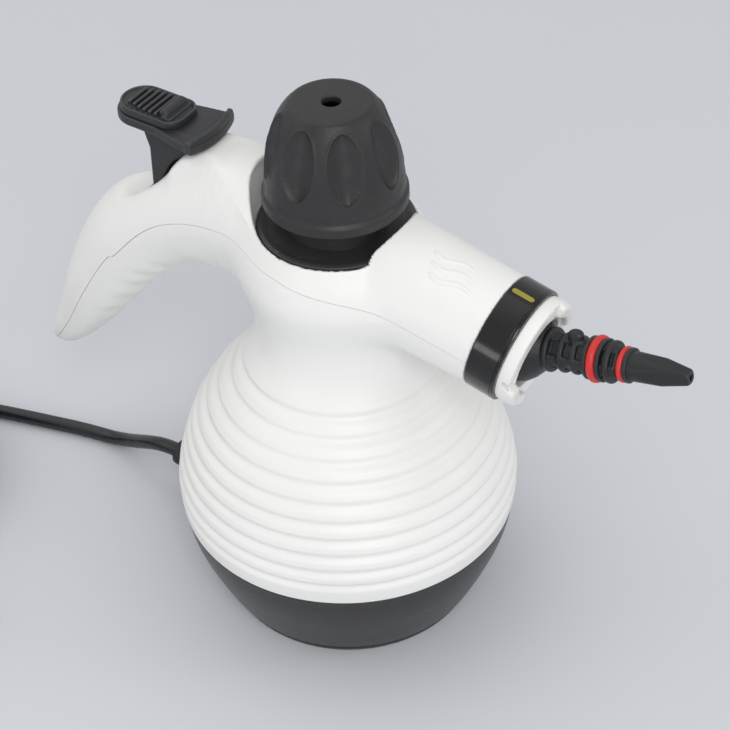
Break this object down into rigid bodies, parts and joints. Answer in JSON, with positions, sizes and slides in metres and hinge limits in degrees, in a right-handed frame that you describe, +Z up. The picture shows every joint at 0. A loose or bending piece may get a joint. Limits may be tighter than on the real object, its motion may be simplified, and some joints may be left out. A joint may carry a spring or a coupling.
{
  "type": "handheld steam cleaner",
  "caption": "Handheld steam cleaner with ribbed round boiler body, swept handle with trigger lever, fluted safety cap, tapered nozzle and corded plug.",
  "frame": {"origin": "middle of the flat underside of the base, on the surface it stands on", "axes": "+Z up, +X along the barrel towards the nozzle, -X towards the handle"},
  "size_m": [0.397, 0.215, 0.225],
  "materials": {
    "white_plastic": "fine satin moulding",
    "black_plastic": "fine grained moulding",
    "gloss_black": "polished",
    "red_silicone": "smooth silicone",
    "cast_aluminium": "as cast",
    "steel": "plain",
    "brass": "turned",
    "seal_silicone": "smooth silicone",
    "black_rubber": "flexible sheath",
    "phenolic": "moulded",
    "wire_cover": "silicone cover",
    "fluoropolymer": "smooth tube"
  },
  "bodies": {
    "root": {"lower_housing": "white_plastic", "upper_housing": "white_plastic", "base_cover": "black_plastic", "filler_collar": "black_plastic", "alignment_band": "gloss_black", "bayonet_ring": "white_plastic", "nozzle": "black_plastic", "nozzle_seal_rear": "red_silicone", "nozzle_seal_front": "red_silicone", "boiler_lower": "cast_aluminium", "boiler_upper": "cast_aluminium", "boiler_gasket": "seal_silicone", "base_screw_1": "steel", "base_screw_2": "steel", "base_screw_3": "steel", "heating_element": "steel", "thermostat": "phenolic", "thermal_fuse": "fluoropolymer", "supply_wire_live": "wire_cover", "supply_wire_neutral": "wire_cover", "thermostat_wire": "wire_cover", "steam_tube": "fluoropolymer", "outlet_tube": "fluoropolymer", "valve_body": "brass", "valve_spring": "steel", "trigger_pin": "steel", "trigger_spring": "steel", "strain_relief": "black_rubber", "power_cord": "black_rubber", "power_cord_coil": "black_rubber", "power_cord_tail": "black_rubber", "cord_tie": "black_rubber", "power_plug": "black_rubber"},
    "lever": {"trigger_lever": "black_plastic"},
    "slider": {"lock_slider": "black_plastic"},
    "plunger": {"valve_plunger": "brass"},
    "cap_seal": {"cap_gasket": "seal_silicone"},
    "cap_core": {"cap_plug": "brass", "relief_cover": "brass", "relief_spring": "steel", "cap_spring": "steel"},
    "poppet": {"relief_poppet": "brass"},
    "cap_outer": {"cap_shell": "black_plastic", "cap_retainer": "steel"}
  },
  "joints": [
    {"name": "trigger_press", "type": "hinge", "parent": "root", "child": "lever", "pos_m": [-0.052, 0, 0.185], "axis": [0, -1, 0], "range_deg": [0, 8], "stiffness_Nm_per_rad": 0.6, "springref_deg": -5.73},
    {"name": "lock_slide", "type": "slide", "parent": "lever", "child": "slider", "axis": [0.9997, 0, -0.0262], "range_m": [0, 0.005]},
    {"name": "plunger_slide", "type": "slide", "parent": "root", "child": "plunger", "axis": [0, 0, -1], "range_m": [0, 0.0037], "deforming": ["valve_spring"]},
    {"name": "cap_lift", "type": "slide", "parent": "root", "child": "cap_seal", "axis": [0, 0, 1], "range_m": [0, 0.0076]},
    {"name": "cap_turn", "type": "hinge", "parent": "cap_seal", "child": "cap_core", "pos_m": [0, 0, 0.2], "axis": [0, 0, 1], "range_deg": [0, 900]},
    {"name": "relief_lift", "type": "slide", "parent": "cap_core", "child": "poppet", "axis": [0, 0, 1], "range_m": [0, 0.002], "stiffness_N_per_m": 400, "springref_m": -0.002, "deforming": ["relief_spring"]},
    {"name": "cap_press", "type": "slide", "parent": "cap_core", "child": "cap_outer", "axis": [0, 0, -1], "range_m": [0, 0.003], "stiffness_N_per_m": 800, "springref_m": -0.003, "deforming": ["cap_spring"]}
  ],
  "couplings": [
    {"joint": "plunger_slide", "follows": "trigger_press", "m_per_rad": 0.0257},
    {"joint": "cap_lift", "follows": "cap_turn", "m_per_rad": 0.000477}
  ]
}
